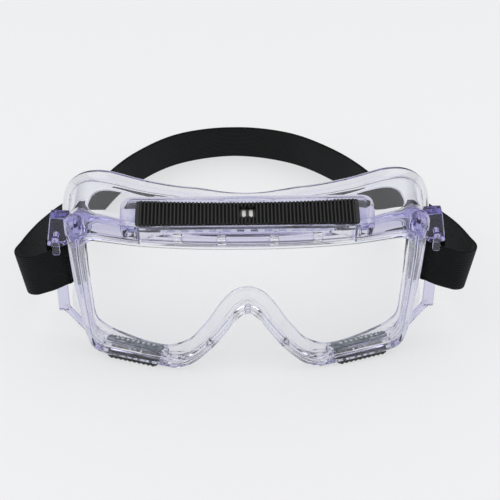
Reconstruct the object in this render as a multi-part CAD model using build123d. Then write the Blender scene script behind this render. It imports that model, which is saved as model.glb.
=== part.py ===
from build123d import *
import math
import os

# Safety goggles: a clear flexible frame round a curved clear lens, three sliding vents and an
# elastic head strap.  Millimetres.  X is the width, -Y is the front, +Z is up.  While it is being
# made, y = 0 is the top edge of the front face; at the end the whole model is moved so that the
# origin is at the middle of its footprint, on the surface that it stands on.

# ---- driving dimensions ----
FRONT_RADIUS = 205.0       # curve of the front face in plan
FRONT_LEAN = 4.0           # degrees that the front face leans, top forward
FRONT_TOP = 78.8           # height of the front face's top edge
WALL = 2.0                 # thickness of the clear frame's walls
REAR_PLANE = 58.0          # depth of the plane in which the wall's rear outline is drawn
RAIL_DEPTH = 7.0           # depth of the ring that holds the lens
LENS_SET_BACK = 2.2        # lens face behind the frame's front face
LENS_THICKNESS = 2.0
HEAD_RADIUS = 172.0        # curve of the face side in plan
FACE_DEPTH = 30.0          # depth of the face side at the middle of the forehead
FACE_TOP = 84.6            # height at which that depth is taken
FACE_LEAN = 9.0            # degrees that the face side leans, bottom forward
NOSE_RADIUS = 40.0         # relief for the bridge of the nose
NOSE_DEPTH = 13.5          # depth of that relief at the height of the bridge
NOSE_HEIGHT = 37.0
NOSE_LEAN = 15.0
FLANGE = 2.2               # thickness of the lip that lies on the face
OVERHANG = 1.5             # how far that lip stands out from the wall
CORNER_RADIUS = 5.5        # swollen upper corners of the front face
CORNER_PLACE = (75.0, 19.0, 73.5)

TAB_WIDTH = 3.6            # lens tabs that show through windows in the rail
TAB_PLACES = (11.2, 30.0, 50.0)

TOP_VENT_PLACE = (0.0, 12.4, 82.4)
TOP_VENT_SLOPE = 17.0      # degrees that the top vent rises to the rear
TOP_SHUTTER = (96.0, 13.4)
TOP_TRAVEL = 3.0
LOW_VENT_PLACE = (52.8, 19.4, -0.5)
LOW_VENT_TURN = 18.5       # degrees in plan, along the curve of the front
LOW_SHUTTER = (25.2, 7.6)
LOW_TRAVEL = 1.5
LOW_BAFFLE = (27.8, 4.6)   # plate above each lower vent
LOW_BAFFLE_BACK = 1.1      # its middle behind the vent's middle
RIB_PITCH = 1.6
RIB_HEIGHT = 0.8
PLATE = 1.4                # thickness of the shutters' plates
SEAT = 1.6                 # thickness of the plates that the shutters slide on
GAP = 0.3                  # running clearance of a shutter

BAR_INNER = 84.2           # strap bar of each bracket
BAR_OUTER = 89.4
BAR_FRONT = 37.2
BAR_REAR = 40.2
BAR_LOW = 11.0
BAR_HIGH = 52.0
BLOCK = (34.5, 41.5)       # depths between which the block above the bar lies
HOLE_PLACE = (87.0, 54.8)  # hole for the keeper's pin
BRACE = (-12.5, -8.0, -9.5)    # run of the brace from the bar's foot to the frame

STRAP_WIDTH = 24.0
STRAP_THICKNESS = 1.5
STRAP_HIGH_EDGE = 21.0     # lower edge of the strap at the brackets
STRAP_FRONT = 35.6         # middle of the strap's front layer
STRAP_TAIL = 41.8          # middle of the layer behind the bar
STRAP_FOLD = 7.0           # radius of the fold beside the bracket
FOLD_TURN = 105.0          # degrees that the strap turns there
FOLD_PLACE = 98.6
STRAP_REAR = 199.0         # rear end of the loop
FLOOR = -3.0               # height of the surface that the goggles stand on

# Half outlines, from the middle of the top round to the middle of the nose arch (x, z).
FRONT_OUTLINE = [(0, 78.8), (25, 78.2), (50, 77.3), (66, 76.6), (74.5, 73.5), (78, 66),
                 (77, 43), (75.6, 22), (74, 7), (69, 0.9), (55, 0), (42, -1), (34, -1.2),
                 (27, 1.6), (20.5, 7.8), (14, 16.2), (8.7, 24.6), (4.6, 31.6), (0, 35)]
LENS_OPENING = [(0, 71.2), (25, 70.6), (48, 69.4), (63, 68.6), (70, 67), (71.6, 62),
                (71.6, 43), (71, 26), (70.2, 14), (66.5, 9.4), (54, 8.2), (42, 6.8), (35, 3.4),
                (29, 5.2), (22.8, 11), (16.9, 18.6), (11.6, 26.6), (6.6, 34.4), (0, 39)]
REAR_OUTLINE = [(0, 86), (25, 86), (45, 87), (60, 87.6), (72.5, 84.4), (80.5, 75),
                (82, 60), (80, 40), (77, 20), (70, 5), (55, 0.8), (42, 0.2), (33, 1.6),
                (26, 6.5), (20, 14), (14.5, 22.5), (9.5, 31), (5, 38), (0, 41)]
FACE_OPENING = [(0, 76), (25, 75.5), (44, 76.5), (58, 77.5), (67, 75), (72.5, 66),
                (73.5, 54), (73, 38), (72, 22), (69.5, 10.5), (58, 6.2), (42, 3.6), (33.5, 4.6),
                (27.4, 10), (22.4, 17.4), (17, 25.8), (12, 34.2), (6.4, 40.4), (0, 42.6)]


def mirrored(half):
    """The closed list of points that a half outline makes."""
    inner = half[1:-1]
    return half + [(-x, z) for x, z in reversed(inner)]


def inset(points, amount):
    """Each point moved inwards, square to the line between its neighbours."""
    count = len(points)
    moved = []
    for i, (x, z) in enumerate(points):
        x0, z0 = points[i - 1]
        x1, z1 = points[(i + 1) % count]
        length = math.hypot(x1 - x0, z1 - z0)
        moved.append((x + amount * (z1 - z0) / length, z - amount * (x1 - x0) / length))
    return moved


def outline_face(points, depth=0.0):
    """A smooth closed face through the points, upright at the given depth."""
    curve = Spline([Vector(x, depth, z) for x, z in points], periodic=True)
    return Face(Wire([curve]))


def prism(points, front=-20.0, rear=90.0):
    return extrude(outline_face(points, front), amount=rear - front, dir=(0, 1, 0))


def front_cylinder(set_back=0.0):
    """All that lies more than set_back behind the front face."""
    axis = Pos(0, 0, FRONT_TOP) * Rot(FRONT_LEAN, 0, 0) * Pos(0, FRONT_RADIUS, 0)
    return axis * Cylinder(FRONT_RADIUS - set_back, 400)


def face_tool(proud=0.0):
    """The wearer's face: a wide cylinder and a leaning one for the bridge of the nose."""
    head_axis = Pos(0, FACE_DEPTH, FACE_TOP) * Rot(-FACE_LEAN, 0, 0) * Pos(0, HEAD_RADIUS, 0)
    nose_axis = Pos(0, NOSE_DEPTH, NOSE_HEIGHT) * Rot(-NOSE_LEAN, 0, 0) * Pos(0, NOSE_RADIUS, 0)
    nose = nose_axis * Cylinder(NOSE_RADIUS + proud, 220)
    return head_axis * Cylinder(HEAD_RADIUS + proud, 400) + nose


def front_depth(x, z):
    """Depth of the front face at a place on it."""
    curve = FRONT_RADIUS - math.sqrt(FRONT_RADIUS ** 2 - x * x)
    return curve + (FRONT_TOP - z) * math.tan(math.radians(FRONT_LEAN))


TOP_PLACE = Pos(*TOP_VENT_PLACE) * Rot(TOP_VENT_SLOPE, 0, 0)


def low_place(side):
    """Frame of a lower vent: its z points out of the frame, which is down."""
    x, y, z = LOW_VENT_PLACE
    return Pos(side * x, y, z) * Rot(0, 0, side * LOW_VENT_TURN) * Rot(180, 0, 0)


def rounded_block(length, width, low, high, radius):
    sketch = Plane.XY.offset(low) * RectangleRounded(length, width, radius)
    return extrude(sketch, amount=high - low)


def upright_plate(points, front, rear):
    """Plate whose outline (x, z) stands upright, from one depth to another."""
    edges = Polyline([Vector(x, front, z) for x, z in points], close=True).edges()
    return extrude(Face(Wire(edges)), amount=rear - front, dir=(0, 1, 0))


# ---- lens ----
def lens():
    edge = [(0.55 * a + 0.45 * c, 0.55 * b + 0.45 * d)
            for (a, b), (c, d) in zip(FRONT_OUTLINE, LENS_OPENING)]
    front = front_cylinder(LENS_SET_BACK)
    back = front_cylinder(LENS_SET_BACK + LENS_THICKNESS)
    body = prism(mirrored(edge)) & (front - back)
    for x in TAB_PLACES:
        for side in (-1, 1):
            tab = Pos(side * x, 0, FRONT_TOP - 3.4) * Box(TAB_WIDTH, 40, 6.4)
            body += tab & (front - back)
    return body


# ---- clear frame ----
def wall_block(inwards=0.0, front=-2.0, rear=REAR_PLANE):
    """The frame's outer shape, filled, with its sides moved inwards."""
    return loft([outline_face(inset(mirrored(FRONT_OUTLINE), inwards), front),
                 outline_face(inset(mirrored(REAR_OUTLINE), inwards), rear)])


def frame_body(wall_outer, lens_solid):
    inside = wall_block(WALL, -3, REAR_PLANE + 1) & front_cylinder(RAIL_DEPTH)
    body = (wall_outer & front_cylinder()) - inside
    body -= prism(mirrored(LENS_OPENING), -20, 40) - front_cylinder(RAIL_DEPTH + 0.3)
    lip = wall_block(-OVERHANG, -2, REAR_PLANE - 1) & face_tool(FLANGE)
    lip -= prism(mirrored(FACE_OPENING))
    body = body + lip - face_tool()
    for side in (-1, 1):
        x, y, z = CORNER_PLACE
        body += Pos(side * x, y, z) * Sphere(CORNER_RADIUS)
    length, width = TOP_SHUTTER
    tray = TOP_PLACE * rounded_block(length + 13, width + 5.6, -5.5, 1.6, 5)
    body += tray & front_cylinder(-1)
    body -= TOP_PLACE * rounded_block(length + 2 * TOP_TRAVEL + 1, width + 0.8, -SEAT, 9, 1.5)
    body -= TOP_PLACE * rounded_block(length - 2, width - 3, -14, 2, 1.5)
    length, width = LOW_SHUTTER
    for side in (-1, 1):
        low = low_place(side)
        body += low * rounded_block(length + 2 * LOW_TRAVEL + 3.4, width + 1.8, -4.2, 0, 1.2)
        body -= low * rounded_block(length + 2 * LOW_TRAVEL + 0.8, width + 0.6, -SEAT, 9, 0.8)
        body -= low * rounded_block(length + 3.2, width - 2.2, -14, 2, 0.6)
    return body - lens_solid


# ---- vents, in a frame whose z points out of the goggles and whose x runs along the vent ----
def ribbed_shutter(length, width, window_pair):
    """Ribbed plate that slides on its seat."""
    ribs = int((length - 3) / RIB_PITCH)
    start = -RIB_PITCH * ribs / 2
    base = GAP + PLATE
    points = [(-length / 2, GAP), (length / 2, GAP), (length / 2, base)]
    for i in reversed(range(ribs)):
        x = start + RIB_PITCH * i
        points += [(x + 0.8 * RIB_PITCH, base), (x + 0.7 * RIB_PITCH, base + RIB_HEIGHT),
                   (x + 0.3 * RIB_PITCH, base + RIB_HEIGHT), (x + 0.2 * RIB_PITCH, base)]
    points.append((-length / 2, base))
    comb = Polyline([Vector(x, width / 2, z) for x, z in points], close=True)
    plate = extrude(Face(Wire(comb.edges())), amount=width, dir=(0, -1, 0))
    air = width / 2 - 1.9
    for i in range(2, ribs - 1, 2):
        plate -= Pos(start + RIB_PITCH * i, air, 1) * Box(0.7, 1.2, 8)
    if window_pair:
        plate -= Pos(0, 1, base + 2) * Box(6.2, 5, 4)
        for side in (-1, 1):
            plate -= Pos(side * 1.5, 1, base) * Box(1.7, 3.6, 6)
        pointer = Polyline((-1.1, 0.4), (1.1, 0.4), (0, -0.35), close=True)
        point = extrude(Face(Wire(pointer.edges())), amount=PLATE, dir=(0, 0, 1))
        plate += Pos(0, -width / 2, GAP) * point
    return plate


def hooks(length, width, depth, travel, rows=(-1, 1)):
    """Snap hooks below a shutter, two in each row, each as (x, y, solid)."""
    solids = []
    for sx in (-1, 1):
        for sy in rows:
            x = sx * (length / 2 - 3 - travel)
            y = sy * (width / 2 - 1)
            stem = Pos(x, y, (GAP - depth) / 2) * Box(1.4, 0.8, GAP + depth)
            barb = Pos(x, y + sy * 0.3, -depth - 0.3) * Box(1.4, 1.4, 0.6)
            solids.append((x, y, stem + barb))
    return solids


def vent_seat(length, width, travel, hook_length, hook_width, pitch, corner, rows=(-1, 1)):
    """Plate with air slots across it and short slots for the hooks."""
    plate = rounded_block(length, width, -SEAT, 0, corner)
    count = int((hook_length - 14) / pitch)
    for i in range(count):
        x = (i - (count - 1) / 2) * pitch
        plate -= Pos(x, 0, 0) * Box(0.45 * pitch, hook_width * 0.5, 8)
    for x, y, _ in hooks(hook_length, hook_width, SEAT, travel, rows):
        plate -= Pos(x, y, 0) * Box(1.4 + 2 * travel + 0.6, 1.4, 8)
    return plate


def top_vent():
    length, width = TOP_SHUTTER
    shutter = ribbed_shutter(length, width, True)
    for _, _, hook in hooks(length, width - 3.4, SEAT + GAP, TOP_TRAVEL):
        shutter += hook
    seat = vent_seat(length + 2 * TOP_TRAVEL + 1, width + 0.8, TOP_TRAVEL, length, width - 3.4,
                     6, 1.5)
    recess = Pos(0, 1, 0) * Box(9, 4.6, 0.8)
    seat -= recess
    indicator = Pos(0, 1, -0.2) * Box(9, 4.6, 0.4)
    baffle = rounded_block(length - 3, width - 4.4, -8.5, -7.3, 1.5)
    for i in range(14):
        baffle -= Pos((i - 6.5) * 6, 0, -8) * Box(2.4, 4, 4)
    for x in (-36, -12, 12, 36):
        baffle += Pos(x, 0, -(SEAT + 7.3) / 2) * Box(1.6, width - 4.4, 7.3 - SEAT)
    return {"top_vent_shutter": TOP_PLACE * shutter, "top_vent_seat": TOP_PLACE * seat,
            "top_vent_indicator": TOP_PLACE * indicator, "top_vent_baffle": TOP_PLACE * baffle}


def low_vent(side, name):
    length, width = LOW_SHUTTER
    place = low_place(side)
    shutter = ribbed_shutter(length, width, False)
    rear_row = (-1,)
    for _, _, hook in hooks(length, width - 3, SEAT + GAP, LOW_TRAVEL, rear_row):
        shutter += hook
    seat = vent_seat(length + 2 * LOW_TRAVEL + 0.8, width + 0.6, LOW_TRAVEL, length, width - 3,
                     3, 0.8, rear_row)
    baffle = Pos(0, -LOW_BAFFLE_BACK, 0) * rounded_block(*LOW_BAFFLE, -5.7, -4.5, 0.8)
    for i in range(8):
        baffle -= Pos((i - 3.5) * 2.6, -LOW_BAFFLE_BACK - 0.8, -5) * Cylinder(0.6, 8)
    for end in (-1, 1):
        baffle += Pos(end * (length / 2 - 1.1), -2.15, -(SEAT + 5) / 2) * Box(0.9, 0.7, 5 - SEAT)
    return {name + "_vent_shutter": place * shutter, name + "_vent_seat": place * seat,
            name + "_vent_baffle": place * baffle}


# ---- strap brackets ----
def strap_bracket(wall_outer):
    """Right bracket, outside the frame: a block, an upright bar and a brace, with a slot inside."""
    middle = (BAR_INNER + BAR_OUTER) / 2
    depth = (BAR_FRONT + BAR_REAR) / 2
    bar = Pos(middle, depth, (BAR_LOW + BAR_HIGH) / 2)
    bracket = bar * Box(BAR_OUTER - BAR_INNER, BAR_REAR - BAR_FRONT, BAR_HIGH - BAR_LOW)
    bracket = fillet(bracket.edges().filter_by(Axis.Z), 1.2)
    front, rear = BLOCK
    block = [(88.6, 66.5), (91.3, 51), (BAR_INNER, 50.2), (78.5, 54), (77.5, 67.5)]
    bracket += upright_plate(block, front, rear)
    section = Plane(origin=(middle, depth, BAR_LOW + 2.3), z_dir=(-1, 0, 0)) * Rectangle(
        BAR_REAR - BAR_FRONT, 4.6)
    run = Vector(*BRACE)
    bracket += extrude(section, amount=run.length, dir=run)
    x, z = HOLE_PLACE
    bracket -= Pos(x, front + 3, z) * (Rot(90, 0, 0) * Cylinder(1.3, 12))
    return max((bracket - wall_outer).solids(), key=lambda solid: solid.volume)


def strap_keeper(side):
    """Pin in the block's hole, with a finger that hangs in front of the strap's upper edge."""
    x, z = HOLE_PLACE
    front, rear = BLOCK
    pin = Pos(x, (front + rear) / 2, z) * (Rot(90, 0, 0) * Cylinder(1.3, rear - front + 1))
    head = Pos(x, front - 1.1, z - 3) * Box(3.4, 1.6, 10)
    keeper = pin + fillet(head.edges().filter_by(Axis.Y), 1.4)
    return keeper if side > 0 else mirror(keeper, about=Plane.YZ)


# ---- strap ----
def strap_half_path():
    """Middle of the strap in plan, right half, from its tail to the rear of the loop."""
    wrap = (STRAP_TAIL - STRAP_FRONT) / 2
    wrap_x = BAR_INNER + 0.4
    fold = CenterArc((FOLD_PLACE, STRAP_FRONT + STRAP_FOLD), STRAP_FOLD, -90, FOLD_TURN)
    rear = Spline(fold @ 1, (97, 73.5), (88, 106), (71, 145), (53, 170), (30, 189),
                  (0, STRAP_REAR), tangents=[fold % 1, (-1, 0)])
    return [Line((wrap_x + 8, STRAP_TAIL), (wrap_x, STRAP_TAIL)),
            ThreePointArc((wrap_x, STRAP_TAIL), (wrap_x - wrap, STRAP_FRONT + wrap),
                          (wrap_x, STRAP_FRONT)),
            Line((wrap_x, STRAP_FRONT), (FOLD_PLACE, STRAP_FRONT)), fold, rear]


def strap_band():
    half = Wire(strap_half_path())
    whole = Wire(half.edges() + mirror(half, about=Plane.YZ).edges())
    start = whole @ 0
    section = Plane(origin=start, x_dir=(0, 0, 1), z_dir=whole % 0) * Rectangle(90, STRAP_THICKNESS)
    tall = sweep(section, path=whole)
    low = [(20, STRAP_HIGH_EDGE), (60, STRAP_HIGH_EDGE), (150, FLOOR), (220, FLOOR)]
    high = [(y, z + STRAP_WIDTH) for y, z in reversed(low)]
    side_view = Polyline([Vector(-150, y, z) for y, z in low + high], close=True)
    return tall & extrude(Face(Wire(side_view.edges())), amount=300, dir=(1, 0, 0))


def all_nodes():
    lens_solid = lens()
    wall_outer = wall_block()
    bracket = strap_bracket(wall_outer)
    nodes = {"frame_body": frame_body(wall_outer, lens_solid), "lens": lens_solid,
             "strap_band": strap_band(), "right_strap_bracket": bracket,
             "left_strap_bracket": mirror(bracket, about=Plane.YZ)}
    nodes.update(top_vent())
    for side, name in ((-1, "left"), (1, "right")):
        nodes.update(low_vent(side, name))
        nodes[name + "_strap_keeper"] = strap_keeper(side)
    return nodes


os.makedirs("parts", exist_ok=True)
made = all_nodes()
boxes = [shape.bounding_box() for shape in made.values()]
middle_y = (min(b.min.Y for b in boxes) + max(b.max.Y for b in boxes)) / 2
lowest = min(b.min.Z for b in boxes)
for node, shape in made.items():
    export_step(Pos(0, -middle_y, -lowest) * shape, "parts/" + node + ".step")
print("moved by", round(-middle_y, 2), round(-lowest, 2))
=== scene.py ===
import math

import bmesh
import bpy
import numpy as np
from mathutils import Matrix, Vector
from mathutils.bvhtree import BVHTree


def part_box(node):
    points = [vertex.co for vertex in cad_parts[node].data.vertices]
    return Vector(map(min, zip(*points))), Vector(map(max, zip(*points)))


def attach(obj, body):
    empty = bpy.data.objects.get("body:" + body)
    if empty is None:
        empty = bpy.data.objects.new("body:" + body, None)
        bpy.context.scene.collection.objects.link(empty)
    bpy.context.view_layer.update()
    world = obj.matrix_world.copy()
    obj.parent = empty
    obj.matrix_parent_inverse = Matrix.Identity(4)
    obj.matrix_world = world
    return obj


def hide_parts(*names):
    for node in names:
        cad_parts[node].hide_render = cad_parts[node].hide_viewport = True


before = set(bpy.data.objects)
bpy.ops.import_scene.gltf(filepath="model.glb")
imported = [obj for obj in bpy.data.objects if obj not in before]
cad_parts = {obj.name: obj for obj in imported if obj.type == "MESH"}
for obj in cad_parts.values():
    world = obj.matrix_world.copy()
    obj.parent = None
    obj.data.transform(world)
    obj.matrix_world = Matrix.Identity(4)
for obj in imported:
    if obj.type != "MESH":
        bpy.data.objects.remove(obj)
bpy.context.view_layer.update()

# Safety goggles.  Sizes are in millimetres, in the frame in which the goggles were drawn: x is the
# width, y is the depth behind the top edge of the front face, z is the height above the bench.
MM = 0.001
FRONT_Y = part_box("frame_body")[0].y      # the front face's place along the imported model's y axis

# ---- driving dimensions ----
FRONT_RADIUS = 205.0
FRONT_LEAN = math.radians(4.0)
FRONT_TOP = 78.8
REAR_PLANE = 58.0
WALL = 2.0
RAIL_DEPTH = 7.0
LENS_SET_BACK = 2.2
LENS_THICKNESS = 2.0
HEAD_RADIUS = 172.0
FACE_DEPTH = 30.0
FACE_TOP = 84.6
FACE_LEAN = math.radians(9.0)
NOSE_RADIUS = 40.0
NOSE_DEPTH = 13.5
NOSE_HEIGHT = 37.0
NOSE_LEAN = math.radians(15.0)
FLANGE = 2.2
LEAST_DEPTH = 9.9          # from the front face to the face side, at the nose
OVERHANG = 0.5             # least that the lip stands out from the wall
SWELL_PLACE = (75.0, 17.0, 74.0)     # middle of the swollen upper corner
SWELL_HEART = (66.0, 24.0, 64.0)     # point inside, which the swelling leads away from
SWELL_REACH = 10.0
SWELL_HEIGHT = 3.2
TAB_PLACES = (11.2, 30.0, 50.0)
TAB_WIDTH = 3.6
TAB_HEIGHT = 76.3
DOME_PLACE = (75.0, 19.0, 73.5)
DOME_RADIUS = 5.0
NOSE_TABS = ((0.0, 37.0, 0.0), (-17.6, 15.6, -45.0), (17.6, 15.6, 45.0))    # x, z, turn
TOP_VENT_PLACE = (0.0, 12.4, 82.4)
TOP_VENT_SLOPE = 17.0
TOP_SHUTTER = (96.0, 13.4)
TOP_TRAVEL = 3.0
LOW_VENT_PLACE = (52.8, 19.4, -0.5)
LOW_VENT_TURN = 18.5
LOW_SHUTTER = (25.2, 7.6)
LOW_TRAVEL = 1.5
LOW_BAFFLE = (27.8, 4.6)
LOW_BAFFLE_BACK = 1.1
LOW_GRIP = 1.0             # how far the lower shutters reach forward of their pockets
TOP_TRAY = (13.0, 5.2, -5.5, 1.7)    # how much longer and wider than the shutter, low and high
LOW_TRAY = (3.4, 1.8, -4.2, 0.0)
RIB_PITCH = 1.6
LOW_RIB_PITCH = 2.3
RIB_HEIGHT = 0.8
PLATE = 1.4
SEAT = 1.6
GAP = 0.3
FLOOR = -3.0                # height of the crests of the lower ribs, which it stands on
STRAP_WIDTH = 24.0
STRAP_THICKNESS = 1.5

# Half outlines, from the middle of the top round to the middle of the nose arch (x, z).
FRONT_OUTLINE = [(0, 78.8), (25, 78.2), (50, 77.3), (66, 76.6), (74.5, 73.5), (78, 66),
                 (77, 43), (75.6, 22), (74, 7), (69, 1.4), (55, 0.6), (42, -0.5), (34, -1.2),
                 (27, 1.6), (20.5, 7.8), (14, 16.2), (8.7, 24.6), (4.6, 31.6), (0, 35)]
LENS_OPENING = [(0, 71.2), (25, 70.6), (48, 69.4), (63, 68.6), (70, 67), (71.6, 62),
                (71.6, 43), (71, 26), (70.2, 14), (66.5, 9.4), (54, 8.2), (42, 6.8), (35, 3.4),
                (28.6, 4.4), (22.2, 10.2), (16, 18), (10.8, 26), (6, 33.4), (0, 38)]
REAR_OUTLINE = [(0, 86), (25, 86), (45, 87), (60, 87.6), (72.5, 84.4), (80.5, 75),
                (82, 60), (80, 40), (77, 20), (70, 5), (55, 0.8), (42, 0.2), (33, 1.6),
                (26, 6.5), (20, 14), (14.5, 22.5), (9.5, 31), (5, 38), (0, 41)]
FLANGE_OUTLINE = [(0, 84.6), (25, 84.4), (45, 85.6), (62, 87), (74, 83), (82, 73.5),
                  (84.4, 60), (80.2, 46), (79.6, 33), (78.2, 18), (71, 3.4), (56, -0.8),
                  (42, -1.2), (32, 0.4), (24, 6), (18.5, 13.6), (13, 22), (8, 30), (0, 36.6)]
FACE_OPENING = [(0, 76), (25, 75.5), (44, 76.5), (58, 77.5), (67, 75), (72.5, 66),
                (73.5, 54), (73, 38), (72, 22), (69.5, 10.5), (58, 6.2), (42, 3.6), (33.5, 4.6),
                (27.4, 10), (22.4, 17.4), (17, 25.8), (12, 34.2), (6.4, 40.4), (0, 42.6)]
STEPS = 8                  # points along each stretch of an outline


# ---- small helpers ----
def real(points):
    """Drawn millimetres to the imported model's metres."""
    moved = np.asarray(points, float) * MM
    moved[..., 1] += FRONT_Y
    moved[..., 2] -= FLOOR * MM
    return moved


def new_object(name, vertices, faces, drawn=True):
    mesh = bpy.data.meshes.new(name)
    placed = real(vertices) if drawn else vertices
    mesh.from_pydata([tuple(v) for v in placed], [], faces)
    mesh.validate()
    obj = bpy.data.objects.new(name, mesh)
    bpy.context.scene.collection.objects.link(obj)
    return obj


def outward(obj, weld=True):
    """Faces that all point out of the solid, and no loose points."""
    work = bmesh.new()
    work.from_mesh(obj.data)
    if weld:
        bmesh.ops.remove_doubles(work, verts=work.verts, dist=1e-6)
    loose = [v for v in work.verts if not v.link_faces]
    bmesh.ops.delete(work, geom=loose, context="VERTS")
    bmesh.ops.recalc_face_normals(work, faces=work.faces)
    work.to_mesh(obj.data)
    work.free()


def shade(obj, angle=35.0):
    obj.data.shade_smooth()
    obj.data.set_sharp_from_angle(angle=math.radians(angle))


def measure_thickness(obj, most=14.0):
    """Stores how much plastic lies behind each point, as a share of the most that counts."""
    tree = BVHTree.FromObject(obj, bpy.context.evaluated_depsgraph_get())
    count = len(obj.data.vertices)
    places, normals = np.empty(3 * count), np.empty(3 * count)
    obj.data.vertices.foreach_get("co", places)
    obj.data.vertices.foreach_get("normal", normals)
    depth = np.zeros(count)
    for i, (place, normal) in enumerate(zip(places.reshape(-1, 3), normals.reshape(-1, 3))):
        start = Vector(place) - Vector(normal) * 0.02 * MM
        hit = tree.ray_cast(start, -Vector(normal), most * MM)
        depth[i] = 1.0 if hit[3] is None else hit[3] / (most * MM)
    layer = obj.data.attributes.new("thickness", "FLOAT", "POINT")
    layer.data.foreach_set("value", depth)


def apply_modifiers(obj):
    bpy.context.view_layer.update()
    graph = bpy.context.evaluated_depsgraph_get()
    mesh = bpy.data.meshes.new_from_object(obj.evaluated_get(graph))
    obj.modifiers.clear()
    old = obj.data
    obj.data = mesh
    bpy.data.meshes.remove(old)


def subdivide(obj, levels=1):
    modifier = obj.modifiers.new("smooth", "SUBSURF")
    modifier.levels = levels
    modifier.render_levels = levels
    apply_modifiers(obj)


def combine(obj, other, operation):
    """Adds another solid to obj, or cuts it away, and removes the other."""
    modifier = obj.modifiers.new("combine", "BOOLEAN")
    modifier.operation = operation
    modifier.solver = "EXACT"
    modifier.object = other
    apply_modifiers(obj)
    bpy.data.objects.remove(other)


def merged(name, objects):
    """One object that holds the meshes of several, which are removed."""
    work = bmesh.new()
    for obj in objects:
        work.from_mesh(obj.data)
        bpy.data.objects.remove(obj)
    mesh = bpy.data.meshes.new(name)
    work.to_mesh(mesh)
    work.free()
    whole = bpy.data.objects.new(name, mesh)
    bpy.context.scene.collection.objects.link(whole)
    return whole


def smooth_loop(points, steps=STEPS):
    """Closed smooth curve through the points, with an even number of steps between them."""
    p = np.asarray(points, float)
    before, after, beyond = np.roll(p, 1, 0), np.roll(p, -1, 0), np.roll(p, -2, 0)
    rows = []
    for t in np.arange(steps) / steps:
        rows.append(0.5 * (2 * p + (after - before) * t
                           + (2 * before - 5 * p + 4 * after - beyond) * t * t
                           + (3 * p - before - 3 * after + beyond) * t ** 3))
    return np.stack(rows, 1).reshape(-1, 2)


def outline(half):
    mirrored = [(-x, z) for x, z in reversed(half[1:-1])]
    return smooth_loop(half + mirrored)


def side_normal(flat):
    """Unit vectors that point out of a closed outline."""
    along = np.roll(flat, -1, 0) - np.roll(flat, 1, 0)
    along /= np.linalg.norm(along, axis=1)[:, None]
    return np.stack([-along[:, 1], along[:, 0]], 1)


def front_depth(flat):
    curve = FRONT_RADIUS - np.sqrt(FRONT_RADIUS ** 2 - flat[:, 0] ** 2)
    return curve + (FRONT_TOP - flat[:, 1]) * math.tan(FRONT_LEAN)


def rear_depth(flat):
    """Depth of the face side: a wide curve, eased into the relief for the nose."""
    x, z = flat[:, 0], flat[:, 1]
    head = (FACE_DEPTH + (HEAD_RADIUS - np.sqrt(HEAD_RADIUS ** 2 - x ** 2)) / math.cos(FACE_LEAN)
            - (FACE_TOP - z) * math.tan(FACE_LEAN))
    across = NOSE_RADIUS - np.sqrt(NOSE_RADIUS ** 2 - np.minimum(np.abs(x), NOSE_RADIUS) ** 2)
    nose = NOSE_DEPTH + (z - NOSE_HEIGHT) * math.tan(NOSE_LEAN) + across / math.cos(NOSE_LEAN)
    ease = np.clip(0.5 + 0.5 * (nose - head) / 4.0, 0, 1)
    depth = nose * (1 - ease) + head * ease - 4.0 * ease * (1 - ease) / 2
    least = front_depth(flat) + LEAST_DEPTH
    ease = np.clip(0.5 + 0.5 * (depth - least) / 1.0, 0, 1)
    return least * (1 - ease) + depth * ease + ease * (1 - ease) / 2


def row(flat, depth):
    return np.stack([flat[:, 0], depth, flat[:, 1]], 1)


def lofted(name, rows):
    """Closed tube of quads through closed rows of points: the last row joins the first."""
    count, size = len(rows), len(rows[0])
    vertices = np.concatenate(rows)
    faces = []
    for i in range(count):
        j = (i + 1) % count
        for k in range(size):
            m = (k + 1) % size
            faces.append((i * size + k, i * size + m, j * size + m, j * size + k))
    obj = new_object(name, vertices, faces)
    outward(obj)
    return obj


def rounded_rectangle(length, width, radius, corner_steps=6):
    points = []
    for sx, sy, start in ((1, 1, 0), (-1, 1, 90), (-1, -1, 180), (1, -1, 270)):
        for i in range(corner_steps + 1):
            angle = math.radians(start + 90 * i / corner_steps)
            points.append((sx * (length / 2 - radius) + radius * math.cos(angle),
                           sy * (width / 2 - radius) + radius * math.sin(angle)))
    return points


def refined(ring, step=2.0):
    """The same closed line with points no further apart than the step."""
    points = []
    for (x0, y0), (x1, y1) in zip(ring, ring[1:] + ring[:1]):
        count = max(1, math.ceil(math.hypot(x1 - x0, y1 - y0) / step))
        points += [(x0 + (x1 - x0) * i / count, y0 + (y1 - y0) * i / count) for i in range(count)]
    return points


def slab(name, place, length, width, low, high, radius, bevel=0.0, proud=None):
    """Rounded block between two heights of a placed frame, with eased edges.  With proud, it
    stands no further than that in front of the curved front face."""
    levels = [(low, bevel), (high, bevel)]
    if bevel:
        levels = [(low, bevel), (low + 0.3 * bevel, 0.3 * bevel), (low + bevel, 0),
                  (high - bevel, 0), (high - 0.3 * bevel, 0.3 * bevel), (high, bevel)]
    vertices = []
    for height, inset in levels:
        ring = rounded_rectangle(length - 2 * inset, width - 2 * inset, max(radius - inset, 0.05))
        if proud is not None:
            ring = refined(ring)
        vertices += [place @ Vector((x, y, height)) for x, y in ring]
    if proud is not None:
        for point in vertices:
            front = float(front_depth(np.array([[point.x, point.z]]))[0])
            point.y = max(point.y, front - proud)
    size = len(ring)
    faces = [tuple(reversed(range(size))), tuple(range(len(vertices) - size, len(vertices)))]
    for i in range(len(levels) - 1):
        for k in range(size):
            m = (k + 1) % size
            faces.append((i * size + k, i * size + m, (i + 1) * size + m, (i + 1) * size + k))
    obj = new_object(name, vertices, faces)
    outward(obj)
    return obj


def ball(name, centre, radius):
    work = bmesh.new()
    bmesh.ops.create_icosphere(work, subdivisions=4, radius=radius)
    vertices = [Vector(centre) + v.co for v in work.verts]
    faces = [tuple(v.index for v in face.verts) for face in work.faces]
    work.free()
    return new_object(name, vertices, faces)


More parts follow.
